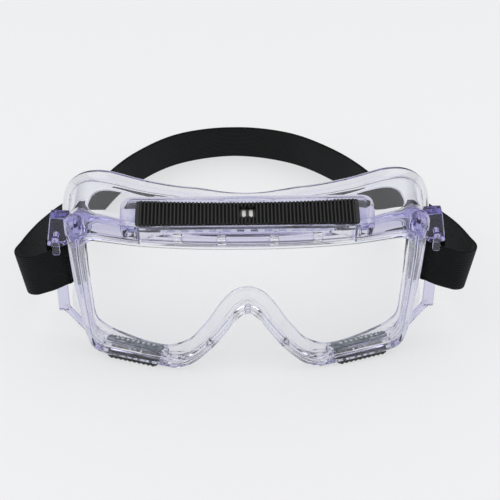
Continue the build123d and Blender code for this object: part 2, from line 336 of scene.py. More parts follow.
def place_at(position, turn_z=0.0, turn_x=0.0):
    return (Matrix.Translation(position) @ Matrix.Rotation(math.radians(turn_z), 4, "Z")
            @ Matrix.Rotation(math.radians(turn_x), 4, "X"))


TOP_PLACE = place_at(TOP_VENT_PLACE, turn_x=TOP_VENT_SLOPE)


def low_place(side):
    x, y, z = LOW_VENT_PLACE
    return place_at((side * x, y, z), side * LOW_VENT_TURN, 180)


# ---- materials ----
def new_material(name):
    material = bpy.data.materials.new(name)
    material.use_nodes = True
    nodes = material.node_tree.nodes
    return material, nodes, material.node_tree.links, nodes["Principled BSDF"]


def noise(nodes, links, scale, detail=3.0, rough=0.5):
    place = nodes.new("ShaderNodeTexCoord")
    texture = nodes.new("ShaderNodeTexNoise")
    texture.inputs["Scale"].default_value = scale
    texture.inputs["Detail"].default_value = detail
    texture.inputs["Roughness"].default_value = rough
    links.new(place.outputs["Object"], texture.inputs["Vector"])
    return texture.outputs["Fac"]


def ramp(nodes, links, source, low, high, start=0.35, end=0.65):
    """A value or colour that runs from low to high as source runs from start to end."""
    node = nodes.new("ShaderNodeValToRGB")
    for stop, place, value in zip(node.color_ramp.elements, (start, end), (low, high)):
        stop.position = place
        stop.color = (*value, 1) if isinstance(value, tuple) else (value, value, value, 1)
    links.new(source, node.inputs["Fac"])
    return node.outputs["Color"]


def bump(nodes, links, shader, height, strength, distance):
    node = nodes.new("ShaderNodeBump")
    node.inputs["Strength"].default_value = strength
    node.inputs["Distance"].default_value = distance
    links.new(height, node.inputs["Height"])
    links.new(node.outputs["Normal"], shader.inputs["Normal"])


def clear_plastic(name, thin, thick, absorbed, density, rough, waviness, ior):
    """Clear moulded plastic, whose tint deepens where more plastic lies behind the surface."""
    material, nodes, links, shader = new_material(name)
    shader.inputs["Transmission Weight"].default_value = 1.0
    shader.inputs["IOR"].default_value = ior
    depth = nodes.new("ShaderNodeAttribute")
    depth.attribute_name = "thickness"
    links.new(ramp(nodes, links, depth.outputs["Fac"], thin, thick, 0.3, 0.85),
              shader.inputs["Base Color"])
    patch = noise(nodes, links, 60.0, 2.0)
    links.new(ramp(nodes, links, patch, rough * 0.6, rough * 1.4), shader.inputs["Roughness"])
    bump(nodes, links, shader, noise(nodes, links, 45.0, 1.0), waviness, 0.0006)
    volume = nodes.new("ShaderNodeVolumeAbsorption")
    volume.inputs["Color"].default_value = (*absorbed, 1)
    volume.inputs["Density"].default_value = density
    links.new(volume.outputs["Volume"], nodes["Material Output"].inputs["Volume"])
    return material


def black_plastic(name, colour, rough):
    material, nodes, links, shader = new_material(name)
    patch = noise(nodes, links, 90.0, 4.0)
    darker = tuple(0.75 * c for c in colour)
    lighter = tuple(1.35 * c for c in colour)
    links.new(ramp(nodes, links, patch, darker, lighter), shader.inputs["Base Color"])
    links.new(ramp(nodes, links, noise(nodes, links, 400.0), rough - 0.07, rough + 0.09),
              shader.inputs["Roughness"])
    bump(nodes, links, shader, noise(nodes, links, 2500.0, 2.0), 0.25, 0.00005)
    return material


def grey_plastic():
    """Slate grey moulding, whose raised studs carry a painted highlight: they are coloured near-white.
    """
    material, nodes, links, shader = new_material("grey_plastic")
    # mask of the studs, which carry the painted highlight
    highlight_and_wear = nodes.new("ShaderNodeAttribute")
    highlight_and_wear.attribute_name = "stud"
    mottled = ramp(nodes, links, noise(nodes, links, 500.0, 4.0), (0.09, 0.12, 0.16),
                   (0.32, 0.37, 0.44), 0.3, 0.7)
    mix = nodes.new("ShaderNodeMix")
    mix.data_type = "RGBA"
    links.new(highlight_and_wear.outputs["Fac"], mix.inputs["Factor"])
    links.new(mottled, mix.inputs["A"])
    # painted highlight: near-white colour on the studs
    mix.inputs["B"].default_value = (0.9, 0.92, 0.95, 1)
    links.new(mix.outputs["Result"], shader.inputs["Base Color"])
    links.new(ramp(nodes, links, noise(nodes, links, 700.0), 0.28, 0.5),
              shader.inputs["Roughness"])
    bump(nodes, links, shader, noise(nodes, links, 900.0, 3.0), 0.4, 0.00008)
    return material


def white_plastic():
    material, nodes, links, shader = new_material("white_plastic")
    links.new(ramp(nodes, links, noise(nodes, links, 120.0), (0.84, 0.84, 0.82), (0.92, 0.92, 0.9)),
              shader.inputs["Base Color"])
    links.new(ramp(nodes, links, noise(nodes, links, 300.0), 0.32, 0.45),
              shader.inputs["Roughness"])
    bump(nodes, links, shader, noise(nodes, links, 1800.0), 0.15, 0.00004)
    return material


def webbing():
    """Black knitted elastic: fine courses across, warp ribs along, a soft sheen."""
    material, nodes, links, shader = new_material("strap_elastic")
    uv = nodes.new("ShaderNodeUVMap")
    split = nodes.new("ShaderNodeSeparateXYZ")
    links.new(uv.outputs["UV"], split.inputs["Vector"])

    def sine(source, per_metre, phase=None):
        scaled = nodes.new("ShaderNodeMath")
        scaled.operation = "MULTIPLY_ADD"
        scaled.inputs[1].default_value = 2 * math.pi * per_metre
        scaled.inputs[2].default_value = 0.0
        links.new(source, scaled.inputs[0])
        if phase is not None:
            links.new(phase, scaled.inputs[2])
        wave = nodes.new("ShaderNodeMath")
        wave.operation = "SINE"
        links.new(scaled.outputs[0], wave.inputs[0])
        return wave.outputs[0]

    ribs = sine(split.outputs["Y"], 1 / 0.0011)
    swing = nodes.new("ShaderNodeMath")
    swing.operation = "MULTIPLY"
    swing.inputs[1].default_value = 1.3
    links.new(ribs, swing.inputs[0])
    courses = sine(split.outputs["X"], 1 / 0.0009, swing.outputs[0])
    weave = nodes.new("ShaderNodeMath")
    weave.operation = "MULTIPLY_ADD"
    weave.inputs[1].default_value = 0.35
    links.new(courses, weave.inputs[0])
    links.new(ribs, weave.inputs[2])
    fuzz = nodes.new("ShaderNodeMath")
    fuzz.operation = "MULTIPLY_ADD"
    fuzz.inputs[1].default_value = 1.2
    links.new(noise(nodes, links, 1400.0, 3.0), fuzz.inputs[0])
    links.new(weave.outputs[0], fuzz.inputs[2])
    highlight_and_wear = noise(nodes, links, 35.0, 3.0)
    links.new(ramp(nodes, links, highlight_and_wear, (0.0026, 0.0031, 0.0034), (0.0048, 0.0056, 0.006)),
              shader.inputs["Base Color"])
    links.new(ramp(nodes, links, fuzz.outputs[0], 0.85, 0.68, 0.0, 1.0),
              shader.inputs["Roughness"])
    shader.inputs["Sheen Weight"].default_value = 0.05
    shader.inputs["Sheen Roughness"].default_value = 0.5
    shader.inputs["Sheen Tint"].default_value = (0.6, 0.68, 0.7, 1)
    shader.inputs["Specular IOR Level"].default_value = 0.18
    bump(nodes, links, shader, fuzz.outputs[0], 0.5, 0.00012)
    return material


VINYL = clear_plastic("clear_vinyl", (0.965, 0.975, 0.985), (0.40, 0.37, 0.72), (0.5, 0.49, 0.73),
                      38.0, 0.02, 0.12, 1.50)
BRACKET_VINYL = clear_plastic("clear_bracket_vinyl", (0.86, 0.87, 0.95), (0.42, 0.38, 0.76),
                              (0.42, 0.36, 0.74), 90.0, 0.03, 0.2, 1.50)
LENS = clear_plastic("clear_polycarbonate", (0.995, 0.997, 1.0), (0.93, 0.94, 0.97),
                     (0.7, 0.72, 0.8), 3.0, 0.004, 0.01, 1.36)
BLACK = black_plastic("black_plastic", (0.0036, 0.0036, 0.0042), 0.38)
WHITE = white_plastic()
GREY = grey_plastic()
WEBBING = webbing()


def dress(obj, material, body, slot, *nodes):
    obj.data.materials.clear()
    obj.data.materials.append(material)
    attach(obj, body)
    if nodes:
        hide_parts(*nodes)
    if material in (VINYL, LENS, BRACKET_VINYL):
        measure_thickness(obj)


# ---- clear frame ----
def bulge(vertices, centre, heart):
    """Swells the vertices near centre away from a point inside, called heart."""
    offset = vertices - centre
    near = np.clip(1 - (offset ** 2).sum(1) / SWELL_REACH ** 2, 0, 1) ** 2
    away = vertices - heart
    away /= np.linalg.norm(away, axis=1)[:, None]
    return vertices + away * (SWELL_HEIGHT * near)[:, None]


def frame_shell():
    """The ring round the lens, the side wall and the face flange, as one closed surface."""
    front, opening = outline(FRONT_OUTLINE), outline(LENS_OPENING)
    rear = outline(REAR_OUTLINE)
    flange, face = outline(FLANGE_OUTLINE), outline(FACE_OPENING)

    def rail(share, set_back):
        flat = front + (opening - front) * share
        return row(flat, front_depth(flat) + set_back)

    def wall(depth):
        return front + (rear - front) * ((depth + 2) / (REAR_PLANE + 2))[:, None]

    def inner_wall(depth):
        flat = wall(depth)
        return flat - side_normal(flat) * WALL

    def rear_of(surface):
        depth = np.full(len(front), 35.0)
        for _ in range(4):
            depth = rear_depth(surface(depth))
        return depth

    foot = wall(rear_of(wall))
    out = side_normal(foot)
    stands = ((flange - foot) * out).sum(1)
    flange = flange + out * np.maximum(OVERHANG - stands, 0)[:, None]

    def lip(share, set_back):
        flat = flange + (face - flange) * share
        return row(flat, rear_depth(flat) - set_back)

    ring_front = [rail(1.0, 2.0), rail(1.0, 1.4), rail(0.965, 0.95), rail(0.86, 0.85),
                  rail(0.66, 0.85), rail(0.59, 0.75), rail(0.55, 0.45), rail(0.51, 0.1),
                  rail(0.44, 0.0), rail(0.2, 0.0), rail(0.07, 0.12), rail(0.015, 0.5)]
    first = front_depth(front) + 1.1
    last = rear_of(wall) - FLANGE - 1.6
    outer = [row(wall(first + (last - first) * t), first + (last - first) * t)
             for t in np.linspace(0, 1, 13)]
    flange_rows = [lip(0.06, 2.35), lip(0.015, 2.1), lip(0.0, 1.4), lip(0.0, 0.8),
                   lip(0.015, 0.15), lip(0.06, 0.0), lip(0.3, 0.0), lip(0.6, 0.0),
                   lip(0.92, 0.0), lip(0.985, 0.2), lip(1.0, 0.8), lip(1.0, 1.4),
                   lip(0.985, 2.0), lip(0.92, 2.2)]
    back = rear_of(inner_wall) - FLANGE
    start = front_depth(front) + RAIL_DEPTH
    inner = [row(inner_wall(back - 0.4), back - 0.1)]
    inner += [row(inner_wall(back + (start - back) * t), back + (start - back) * t)
              for t in np.linspace(0.05, 0.97, 11)]
    ring_back = [rail(0.5, RAIL_DEPTH), rail(0.93, RAIL_DEPTH), rail(0.985, RAIL_DEPTH - 0.2),
                 rail(1.0, RAIL_DEPTH - 0.7), rail(1.0, 4.7), rail(0.98, 4.4), rail(0.48, 4.35),
                 rail(0.46, 4.2), rail(0.46, 2.2), rail(0.48, 2.05), rail(0.98, 2.05)]
    for rows in (ring_front, outer):
        for i, points in enumerate(rows):
            for side in (-1, 1):
                points = bulge(points, np.array(SWELL_PLACE) * (side, 1, 1),
                               np.array(SWELL_HEART) * (side, 1, 1))
            rows[i] = points
    shell = lofted("clear_frame", ring_front + outer + flange_rows + inner + ring_back)
    subdivide(shell)
    return shell


def clear_frame():
    shell = frame_shell()
    length, width = TOP_SHUTTER
    longer, wider, low, high = TOP_TRAY
    added = [slab("tray", TOP_PLACE, length + longer, width + wider, low, high, 5, 0.8, 0.8)]
    for side in (-1, 1):
        added.append(ball("dome", (side * DOME_PLACE[0], *DOME_PLACE[1:]), DOME_RADIUS))
    cut = [slab("pocket", TOP_PLACE, length + 2 * TOP_TRAVEL + 1, width + 0.8, -SEAT, 9, 1.5),
           slab("duct", TOP_PLACE, length - 2, width - 3, -20, 2, 1.5)]
    length, width = LOW_SHUTTER
    run = length + 2 * LOW_TRAVEL
    longer, wider, low, high = LOW_TRAY
    for side in (-1, 1):
        place = low_place(side)
        added.append(slab("tray", place, run + longer, width + wider, low, high, 1.2, 0.3))
        cut.append(slab("pocket", place, run + 0.8, width + 0.6, -SEAT, 9, 0.8))
        cut.append(slab("duct", place, length + 3.2, width - 2.2, -14, 2, 0.6))
    for x in TAB_PLACES:
        for side in (-1, 1):
            cut.append(slab("window", tab_place(side * x), TAB_WIDTH + 0.3, 4.1, -2.0, 3, 0.5))
    for x, z, turn in NOSE_TABS:
        y = front_depth(np.array([[x, z]]))[0]
        added.append(slab("boss", place_at((x, y + 2.5, z), turn_x=90) @ Matrix.Rotation(
            math.radians(turn), 4, "Z"), 2.6, 3.6, -1.5, 2.6, 1.0, 0.4))
    combine(shell, merged("added", added), "UNION")
    combine(shell, merged("cut", cut), "DIFFERENCE")
    shade(shell, 38)
    dress(shell, VINYL, "goggles", "clear_frame", "frame_body")
    return shell


def tab_place(x):
    """Frame of a lens tab: its z points out of the front face."""
    z = TAB_HEIGHT
    y = front_depth(np.array([[x, z]]))[0]
    turn = math.degrees(math.asin(x / FRONT_RADIUS))
    return place_at((x, y, z), turn, 90 + math.degrees(FRONT_LEAN))


# ---- lens ----
def lens_piece():
    """Sheet of even thickness, curved in plan, with a tab in each window of the rail."""
    edge = outline([(0.53 * a + 0.47 * c, 0.53 * b + 0.47 * d)
                    for (a, b), (c, d) in zip(FRONT_OUTLINE, LENS_OPENING)])
    half = len(edge) // 2
    right = edge[:half + 1]
    widest = int(np.argmax(right[:, 0]))
    top, bottom = right[:widest + 1], right[widest:][::-1]
    reach = right[widest, 0]
    columns = np.concatenate([np.linspace(0, 64, 65), 64 + (reach - 64) *
                              np.sin(np.linspace(0, math.pi / 2, 14))[1:-1]])
    columns = np.concatenate([-columns[::-1], columns[1:]])
    high = np.interp(np.abs(columns), top[:, 0], top[:, 1])
    low = np.interp(np.abs(columns), bottom[:, 0], bottom[:, 1])
    across = 12
    vertices = []
    for set_back in (LENS_SET_BACK, LENS_SET_BACK + LENS_THICKNESS):
        for x, a, b in zip(columns, low, high):
            flat = np.stack([np.full(across + 1, x), np.linspace(a, b, across + 1)], 1)
            vertices.append(row(flat, front_depth(flat) + set_back))
    vertices = np.concatenate(vertices)
    size, count = across + 1, len(columns)
    back = size * count
    faces = []
    for i in range(count - 1):
        for k in range(across):
            a = i * size + k
            faces.append((a, a + size, a + size + 1, a + 1))
            faces.append((a + back, a + 1 + back, a + size + 1 + back, a + size + back))
        for k in (0, across):
            a = i * size + k
            faces.append((a, a + back, a + size + back, a + size))
    for i in (0, count - 1):
        for k in range(across):
            a = i * size + k
            faces.append((a, a + 1, a + 1 + back, a + back))
    sheet = new_object("lens_sheet", vertices, faces)
    outward(sheet)
    tabs = []
    for x in TAB_PLACES:
        for side in (-1, 1):
            tabs.append(slab("tab", tab_place(side * x), TAB_WIDTH, 3.8, -1.95, 0.35, 0.5, 0.3))
    whole = merged("lens", [sheet] + tabs)
    shade(whole, 30)
    dress(whole, LENS, "goggles", "clear_lens", "lens")
    return whole


# ---- vent shutters ----
WINDOW_Y = 0.2             # middle of the two small windows, and half their height
WINDOW_HALF = 2.4
RECESS_HALF = 3.2          # half the height of the thinned patch round them
PANE = 0.5                 # thickness left there
UNDERCUT = 1.2             # how far the windows widen below
BOW = 1.6                  # how far the middle of the rear edge stands forward


def grid_slab(name, place, xs, ys, top, low, gone, corner, bend):
    """Slab over a grid of cells.  top(x, y) is its upper surface, gone(x, y) marks open cells,
    and bend(x, y, level) moves each point along y on the upper level, 0, or the lower, 1."""
    nx, ny = len(xs), len(ys)
    half_x, half_y = xs[-1], ys[-1]

    def eased(x, y):
        u = (abs(x) - (half_x - corner)) / corner
        v = (abs(y) - (half_y - corner)) / corner
        if u <= 0 or v <= 0:
            return x, y
        x_new = half_x - corner + corner * u * math.sqrt(1 - v * v / 2)
        y_new = half_y - corner + corner * v * math.sqrt(1 - u * u / 2)
        return math.copysign(x_new, x), math.copysign(y_new, y)

    vertices = []
    for level in (0, 1):
        for x in xs:
            for y in ys:
                a, b = eased(x, y)
                height = low if level else top(x, y)
                vertices.append(place @ Vector((a, b + bend(x, y, level), height)))
    under = nx * ny
    kept = np.array([[not gone((xs[i] + xs[i + 1]) / 2, (ys[k] + ys[k + 1]) / 2)
                      for k in range(ny - 1)] for i in range(nx - 1)])
    faces = []
    for i in range(nx - 1):
        for k in range(ny - 1):
            if not kept[i, k]:
                continue
            a, b, c, d = i * ny + k, (i + 1) * ny + k, (i + 1) * ny + k + 1, i * ny + k + 1
            faces.append((a, b, c, d))
            faces.append((a + under, d + under, c + under, b + under))
            for (p, q), (di, dk) in (((a, b), (0, -1)), ((b, c), (1, 0)),
                                     ((c, d), (0, 1)), ((d, a), (-1, 0))):
                ni, nk = i + di, k + dk
                if not (0 <= ni < nx - 1 and 0 <= nk < ny - 1) or not kept[ni, nk]:
                    faces.append((p, p + under, q + under, q))
    obj = new_object(name, vertices, faces)
    outward(obj, weld=False)
    return obj


def with_edges(values, marks):
    """Sorted values, with each mark in the place of its nearest neighbour."""
    values = list(values)
    for mark in marks:
        nearest = min(range(len(values)), key=lambda i: abs(values[i] - mark))
        values[nearest] = mark
    return sorted(set(round(v, 5) for v in values))


def shutter(name, place, length, width, windows):
    """Ribbed slide with small air slots along its rear edge, and two windows on the top one."""
    pitch = RIB_PITCH if windows else LOW_RIB_PITCH
    plain_ends = 3.0 if windows else 1.0
    ribs = int((length - plain_ends) / pitch)
    start = -pitch * ribs / 2
    base = GAP + PLATE
    slot_row = width / 2 - 1.9
    xs = np.arange(-length / 2, length / 2 + 0.01, RIB_PITCH / 8)
    xs = np.linspace(-length / 2, length / 2, len(xs))
    ys = np.concatenate([[-width / 2, -width / 2 + 0.15, -width / 2 + 0.4],
                         np.arange(-width / 2 + 0.75, width / 2 - 0.7, 0.45),
                         [width / 2 - 0.4, width / 2 - 0.15, width / 2]])
    marks_x, marks_y = [], [slot_row - 0.4, slot_row + 0.4]
    slots = [start + pitch * i for i in range(2, ribs - 1, 2)]
    for x in slots:
        marks_x += [x - 0.3, x + 0.3]
    pane = [(-1.5, 1.7), (1.5, 1.7)] if windows else []
    if windows:
        marks_x += [c + s * w / 2 for c, w in pane for s in (-1, 1)] + [-3.2, 3.2]
        marks_y += [WINDOW_Y + s * h for h in (WINDOW_HALF, RECESS_HALF) for s in (-1, 1)]
    xs, ys = with_edges(xs, marks_x), with_edges(ys, marks_y)

    def top(x, y):
        edge = min(width / 2 - abs(y), length / 2 - abs(x))
        fall = 0.3 * max(0.0, 1 - edge / 0.4) ** 2
        if windows and abs(x) < 3.3 and abs(y - WINDOW_Y) < RECESS_HALF - 0.01:
            return GAP + PANE
        if abs(x) > -start - 0.01:
            return base - fall
        wave = 0.5 - 0.5 * math.cos(2 * math.pi * (x - start) / pitch)
        ends = min(1.0, max(0.0, edge / 0.25))
        return base - fall + RIB_HEIGHT * wave ** 0.7 * math.sin(ends * math.pi / 2)

    def gone(x, y):
        in_slot = abs(y - slot_row) < 0.4 and any(abs(x - s) < 0.3 for s in slots)
        in_window = abs(y - WINDOW_Y) < WINDOW_HALF
        return in_slot or (in_window and any(abs(x - c) < w / 2 for c, w in pane))

    def bend(x, y, level):
        """The rear edge bows forward in its middle, and the windows widen below to the rear."""
        if not windows:
            return 0.0
        bow = -BOW * (1 - (2 * x / length) ** 2) * max(0.0, 2 * y / width)
        past = y - WINDOW_Y - WINDOW_HALF
        if level and abs(x) < 3.0 and past > -0.1:
            bow += UNDERCUT * max(0.0, 1 - past / 2.4)
        return bow

    parts = [grid_slab(name, place, xs, ys, top, GAP, gone, min(1.6, width / 5), bend)]
    rows = (-1, 1) if windows else (-1,)
    inset = 3.4 if windows else 3.0
    travel = TOP_TRAVEL if windows else LOW_TRAVEL
    for sx in (-1, 1):
        for sy in rows:
            x, y = sx * (length / 2 - 3 - travel), sy * ((width - inset) / 2 - 1)
            hook = place @ Matrix.Translation((x, y, 0))
            parts.append(slab("stem", hook, 1.4, 0.8, -SEAT - GAP, GAP, 0.2))
            hook = hook @ Matrix.Translation((0, sy * 0.3, 0))
            parts.append(slab("barb", hook, 1.4, 1.4, -SEAT - GAP - 0.6, -SEAT - GAP, 0.2, 0.15))
    if windows:
        parts.append(pointer(place, width, base))
    whole = merged(name, parts)
    shade(whole, 50)
    return whole


def pointer(place, width, base):
    """Small triangular mark on the front edge of the top shutter."""
    corners = [(-1.1, 0.4), (1.1, 0.4), (0, -0.35)]
    vertices = [place @ Vector((x, y - width / 2, z)) for z in (GAP, base) for x, y in corners]
    faces = [(2, 1, 0), (3, 4, 5), (0, 1, 4, 3), (1, 2, 5, 4), (2, 0, 3, 5)]
    obj = new_object("pointer", vertices, faces)
    outward(obj)
    return obj


def indicator():
    """White patch on the seat, which shows through the shutter's windows."""
    patch = slab("indicator_patch", TOP_PLACE @ Matrix.Translation((0, 1.5, 0)), 9, 5.6, -0.4, 0.12,
                 0.5, 0.08)
    shade(patch)
    dress(patch, WHITE, "goggles", "white_plastic", "top_vent_indicator")


BAFFLE_HEIGHTS = (-5.7, -4.5)
STUDS = 8
STUD_PITCH = 2.6
TEETH = 15
TOOTH_PITCH = 1.8


def low_baffle(side, name):
    """Plate above a lower vent, with a row of studs and a toothed rear edge, on two legs."""
    place = low_place(side)
    rear = -LOW_BAFFLE_BACK - LOW_BAFFLE[1] / 2
    plate = slab(name + "_baffle_plate", place @ Matrix.Translation((0, -LOW_BAFFLE_BACK, 0)),
                 *LOW_BAFFLE, *BAFFLE_HEIGHTS, 0.8, 0.15)
    added = []
    for i in range(STUDS):
        stud = place @ Matrix.Translation(((i - (STUDS - 1) / 2) * STUD_PITCH, rear + 1.5, 0))
        added.append(slab("stud", stud, 1.3, 1.3, -6.15, -4.7, 0.64, 0.2))
    for i in range(TEETH):
        tooth = place @ Matrix.Translation(((i - TEETH // 2) * TOOTH_PITCH, rear - 0.1, 0))
        added.append(slab("tooth", tooth, 0.9, 0.9, -5.6, -4.6, 0.2, 0.1))
    for end in (-1, 1):
        leg = place @ Matrix.Translation((end * (LOW_SHUTTER[0] / 2 - 1.1), -2.15, 0))
        added.append(slab("leg", leg, 0.9, 0.9, -4.7, -SEAT, 0.15))
    combine(plate, merged("added", added), "UNION")
    back = place.inverted()
    # marks the studs, whose near-white colour in grey_plastic is a painted highlight
    stud_share = []
    for vertex in plate.data.vertices:
        drawn = Vector(vertex.co) / MM
        drawn.y -= FRONT_Y / MM
        drawn.z += FLOOR
        stud_share.append(1.0 if (back @ drawn).z < BAFFLE_HEIGHTS[0] - 0.08 else 0.0)
    layer = plate.data.attributes.new("stud", "FLOAT", "POINT")
    layer.data.foreach_set("value", stud_share)
    shade(plate)
    dress(plate, GREY, "goggles", "grey_plastic", name + "_vent_baffle")


# ---- strap brackets and keepers ----
BAR_INNER = 84.2
BAR_OUTER = 89.4
BAR_FRONT = 37.2
BAR_REAR = 40.2
BAR_LOW = 11.0
BAR_HIGH = 52.0
BLOCK = (34.5, 41.5)
HOLE_PLACE = (87.0, 54.8)
BRACE = (-12.5, -8.0, -9.5)


def prism(name, points, front, rear):
    """Solid whose outline (x, z) stands upright, from one depth to another."""
    size = len(points)
    vertices = [(x, y, z) for y in (front, rear) for x, z in points]
    faces = [tuple(range(size)), tuple(reversed(range(size, 2 * size)))]
    for k in range(size):
        m = (k + 1) % size
        faces.append((k, m, m + size, k + size))
    obj = new_object(name, vertices, faces)
    outward(obj)
    return obj


def moulded(name, solids, voxel, passes):
    """Overlapping solids run together with soft edges, as a moulding has."""
    whole = merged(name, solids)
    modifier = whole.modifiers.new("join", "REMESH")
    modifier.mode = "VOXEL"
    modifier.voxel_size = voxel * MM
    apply_modifiers(whole)
    modifier = whole.modifiers.new("ease", "SMOOTH")
    modifier.iterations = passes
    modifier.factor = 0.5
    apply_modifiers(whole)
    shade(whole, 180)
    return whole


def flip(points, side):
    return [(side * x, z) for x, z in points]


def brace(side):
    """Leaning strut from the foot of the bar inwards and forwards to the frame."""
    x = side * (BAR_INNER + BAR_OUTER) / 2
    section = [(x, BAR_FRONT, BAR_LOW), (x, BAR_REAR, BAR_LOW), (x, BAR_REAR, BAR_LOW + 4.6),
               (x, BAR_FRONT, BAR_LOW + 4.6)]
    run = np.array(BRACE) * (side, 1, 1)
    vertices = [*np.array(section), *(np.array(section) + run)]
    faces = [(0, 1, 2, 3), (7, 6, 5, 4), (0, 4, 5, 1), (1, 5, 6, 2), (2, 6, 7, 3), (3, 7, 4, 0)]
    strut = new_object("brace", np.array(vertices), faces)
    outward(strut)
    return strut


def strap_bracket(side, name):
    front, rear = BLOCK
    block = [(88.6, 66.5), (91.3, 51), (BAR_INNER, 50.2), (79.4, 54), (79.0, 66)]
    bar = [(BAR_OUTER, BAR_LOW), (BAR_OUTER, BAR_HIGH), (BAR_INNER, BAR_HIGH), (BAR_INNER, BAR_LOW)]
    solids = [prism("block", flip(block, side), front, rear),
              prism("bar", flip(bar, side), BAR_FRONT, BAR_REAR), brace(side)]
    x, z = HOLE_PLACE
    hole = slab("hole", place_at((side * x, front, z), turn_x=90), 2.7, 2.7, -12, 6, 1.34)
    bracket = moulded("bracket", solids, 0.35, 8)
    combine(bracket, hole, "DIFFERENCE")
    bracket.name = name + "_moulding"
    shade(bracket, 40)
    dress(bracket, BRACKET_VINYL, "goggles", "clear_frame", name)


def strap_keeper(side, name):
    x, z = HOLE_PLACE
    front, rear = BLOCK
    keeper = slab(name + "_moulding", place_at((side * x, front - 1.1, z - 3), turn_x=90), 3.4, 10,
                  -0.8, 0.8, 1.2, 0.35)
    pin = slab("pin", place_at((side * x, (front + rear) / 2, z), turn_x=90), 2.6, 2.6,
               -(rear - front + 1) / 2, (rear - front + 1) / 2 + 0.6, 1.29)
    combine(keeper, pin, "UNION")
    shade(keeper)
    dress(keeper, BRACKET_VINYL, "goggles", "clear_frame", name)


# ---- strap ----
STRAP_FRONT = 35.6
FOLD_RADIUS = 7.0
FOLD_X = 98.6
FOLD_TURN = 105.0
STRAP_TAIL = 41.8
STRAP_EDGE = 0.7           # width of the rounded edge
STRAP_RIB = 0.06           # depth of the fine ribs along the faces
STRAP_RIB_PITCH = 1.1
EDGE_STEPS = 6
REAR_SHIFT = 5.0           # how far the rear of the loop lies to the left


def strap_line():
    """Middle of the strap in plan: the right half by rule, the left half as its mirror image."""
    wrap = (STRAP_TAIL - STRAP_FRONT) / 2
    x = BAR_INNER + 0.4
    points = [(x + 8 - i, STRAP_TAIL) for i in range(8)]
    for i in range(13):
        angle = math.radians(90 + 15 * i)
        points.append((x + wrap * math.cos(angle), STRAP_FRONT + wrap + wrap * math.sin(angle)))
    points += [(x + i * (FOLD_X - x) / 10, STRAP_FRONT) for i in range(1, 10)]
    for i in range(16):
        angle = math.radians(-90 + FOLD_TURN * i / 15)
        points.append((FOLD_X + FOLD_RADIUS * math.cos(angle),
                       STRAP_FRONT + FOLD_RADIUS + FOLD_RADIUS * math.sin(angle)))
    route = np.array([points[-2], points[-1], (97, 73.5), (88, 106), (71, 145), (54, 169.5),
                      (31, 188), (0, 195.4), (-31, 188)])
    for i in range(1, 7):
        a, b, c, d = route[i - 1:i + 3]
        if i == 1:
            a = b - (c - b) * 0.9
        for t in np.linspace(0, 1, 26)[1:]:
            points.append(0.5 * (2 * b + (c - a) * t + (2 * a - 5 * b + 4 * c - d) * t * t
                                 + (3 * b - a - 3 * c + d) * t ** 3))
    right = np.array(points, float)
    return np.concatenate([right, (right * (-1, 1))[::-1][1:]])


def strap_section():
    """Section of the strap (thickness, width): finely ribbed faces and rounded edges."""
    half_w, half_t = STRAP_WIDTH / 2, STRAP_THICKNESS / 2
    across = np.linspace(-half_w + STRAP_EDGE, half_w - STRAP_EDGE, 90)
    ribbed = half_t - STRAP_RIB * (0.5 + 0.5 * np.cos(2 * math.pi * across / STRAP_RIB_PITCH))
    turns = [math.pi / 2 - math.pi * i / EDGE_STEPS for i in range(1, EDGE_STEPS)]
    section = [(t, v) for v, t in zip(across, ribbed)]
    section += [(half_t * math.sin(a), half_w - STRAP_EDGE + STRAP_EDGE * math.cos(a)) for a in turns]
    section += [(-t, v) for v, t in zip(across[::-1], ribbed[::-1])]
    section += [(-half_t * math.sin(a), -half_w + STRAP_EDGE - STRAP_EDGE * math.cos(a)) for a in turns]
    return np.array(section)


